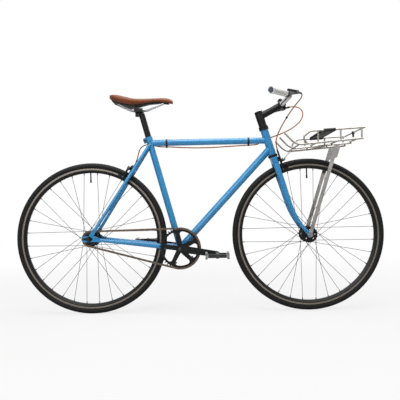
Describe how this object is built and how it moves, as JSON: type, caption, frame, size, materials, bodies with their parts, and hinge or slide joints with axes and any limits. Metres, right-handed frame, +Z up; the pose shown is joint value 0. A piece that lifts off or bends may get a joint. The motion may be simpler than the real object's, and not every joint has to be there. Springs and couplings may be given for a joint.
{
  "type": "fixed gear bicycle",
  "caption": "Fixed gear bicycle with a blue steel frame, cut-down flat bar, hand brakes, leather saddle and a low tube rack over the front wheel.",
  "frame": {"origin": "on the ground, midway between the wheel axles and under the frame's middle plane", "axes": "+X to the front wheel, +Y to the rider's left, +Z up"},
  "size_m": [1.65, 0.6114, 0.978],
  "materials": {
    "frame_blue": "glossy mid-blue paint",
    "black_metal": "black anodised metal",
    "rim_black": "black rim with bare brake tracks",
    "steel": "bare steel",
    "chain_steel": "brown-grey steel",
    "black_plastic": "black plastic",
    "cable_brown": "orange-brown cable casing",
    "leather_brown": "smooth brown leather",
    "bar_silver": "polished silver",
    "bracket_grey": "dark grey metal",
    "grip_white": "white rubber",
    "plug_slate": "slate plastic",
    "rack_steel": "bare stainless steel",
    "tyre_black": "black rubber"
  },
  "bodies": {
    "frame": {"head_tube": "frame_blue", "top_tube": "frame_blue", "down_tube": "frame_blue", "seat_tube": "frame_blue", "bottom_bracket_shell": "frame_blue", "chain_stays": "frame_blue", "seat_stays": "frame_blue", "track_ends": "frame_blue", "seat_binder_bolt": "black_metal", "headset_cups": "black_metal", "bottom_bracket_cups": "black_metal", "rear_axle": "steel", "chain": "chain_steel", "cable_bands": "black_plastic", "rear_cable_loop": "cable_brown", "rear_cable_run": "cable_brown", "rear_brake_bridge": "black_metal"},
    "seat": {"seatpost": "black_metal", "saddle_clamp": "black_metal", "saddle_rails": "steel", "saddle_base": "black_plastic", "saddle_cover": "leather_brown"},
    "fork": {"fork_steerer": "frame_blue", "fork_blades": "frame_blue", "headset_spacers": "black_metal", "stem": "black_metal", "stem_faceplate": "black_metal", "stem_bolts": "black_metal", "handlebar": "bar_silver", "grips": "grip_white", "bar_end_plugs": "plug_slate", "lever_brackets": "bracket_grey", "front_brake_cable": "cable_brown", "front_brake_bridge": "black_metal", "front_axle": "steel", "rack_platform": "rack_steel", "rack_upper_rails": "rack_steel", "rack_struts": "rack_steel", "rack_strap": "black_plastic"},
    "front_wheel": {"front_tyre": "tyre_black", "front_rim": "rim_black", "front_spokes": "steel", "front_hub": "black_metal"},
    "rear_wheel": {"rear_tyre": "tyre_black", "rear_rim": "rim_black", "rear_spokes": "steel", "rear_hub": "black_metal", "cog": "steel"},
    "crankset": {"cranks": "black_metal", "chainring": "black_metal", "pedal_axles": "steel"},
    "right_pedal_body": {"right_pedal": "black_metal"},
    "left_pedal_body": {"left_pedal": "black_metal"},
    "left_lever": {"left_brake_lever": "black_metal"},
    "right_lever": {"right_brake_lever": "black_metal"},
    "front_side_arm": {"front_brake_side_arm": "black_metal"},
    "front_centre_arm": {"front_brake_centre_arm": "black_metal"},
    "rear_side_arm": {"rear_brake_side_arm": "black_metal"},
    "rear_centre_arm": {"rear_brake_centre_arm": "black_metal"}
  },
  "joints": [
    {"name": "seatpost_height", "type": "slide", "parent": "frame", "child": "seat", "axis": [-0.2605, 0, 0.9655], "range_m": [-0.06, 0.03]},
    {"name": "steering", "type": "hinge", "parent": "frame", "child": "fork", "pos_m": [0.44775, 0, 0.32731], "axis": [-0.2924, 0, 0.9563], "range_deg": [-75, 75], "deforming": ["rear_cable_loop"]},
    {"name": "front_wheel_spin", "type": "hinge", "parent": "fork", "child": "front_wheel", "pos_m": [0.486, 0, 0.339], "axis": [0, 1, 0], "continuous": true},
    {"name": "rear_wheel_spin", "type": "hinge", "parent": "frame", "child": "rear_wheel", "pos_m": [-0.486, 0, 0.339], "axis": [0, 1, 0], "continuous": true, "deforming": ["chain"]},
    {"name": "crank_spin", "type": "hinge", "parent": "frame", "child": "crankset", "pos_m": [-0.08672, 0, 0.289], "axis": [0, 1, 0], "continuous": true},
    {"name": "right_pedal_spin", "type": "hinge", "parent": "crankset", "child": "right_pedal_body", "pos_m": [0.07607, 0, 0.26205], "axis": [0, 1, 0], "continuous": true},
    {"name": "left_pedal_spin", "type": "hinge", "parent": "crankset", "child": "left_pedal_body", "pos_m": [-0.2495, 0, 0.31595], "axis": [0, 1, 0], "continuous": true},
    {"name": "left_lever_squeeze", "type": "hinge", "parent": "fork", "child": "left_lever", "pos_m": [0.41953, 0.20193, 0.93819], "axis": [-0.0243, 0.0363, 0.999], "range_deg": [0, 14], "stiffness_Nm_per_rad": 2, "springref_deg": -8.59},
    {"name": "right_lever_squeeze", "type": "hinge", "parent": "fork", "child": "right_lever", "pos_m": [0.41953, -0.20193, 0.93819], "axis": [0.0243, 0.0363, -0.999], "range_deg": [0, 14], "stiffness_Nm_per_rad": 2, "springref_deg": -8.59},
    {"name": "front_side_arm_swing", "type": "hinge", "parent": "fork", "child": "front_side_arm", "pos_m": [0.35515, 0.02, 0.67806], "axis": [0.9563, 0, 0.2924], "range_deg": [0, 2.33]},
    {"name": "front_centre_arm_swing", "type": "hinge", "parent": "fork", "child": "front_centre_arm", "pos_m": [0.35778, 0, 0.66945], "axis": [-0.9563, 0, -0.2924], "range_deg": [0, 2.79]},
    {"name": "rear_side_arm_swing", "type": "hinge", "parent": "frame", "child": "rear_side_arm", "pos_m": [-0.29083, -0.02, 0.65106], "axis": [-0.8376, 0, 0.5463], "range_deg": [0, 2.28]},
    {"name": "rear_centre_arm_swing", "type": "hinge", "parent": "frame", "child": "rear_centre_arm", "pos_m": [-0.29575, 0, 0.64352], "axis": [0.8376, 0, -0.5463], "range_deg": [0, 2.69]}
  ],
  "couplings": [
    {"joint": "crank_spin", "follows": "rear_wheel_spin", "ratio": 0.36364},
    {"joint": "front_side_arm_swing", "follows": "right_lever_squeeze", "ratio": 0.165},
    {"joint": "front_centre_arm_swing", "follows": "right_lever_squeeze", "ratio": 0.198},
    {"joint": "rear_side_arm_swing", "follows": "left_lever_squeeze", "ratio": 0.1616},
    {"joint": "rear_centre_arm_swing", "follows": "left_lever_squeeze", "ratio": 0.1911}
  ]
}
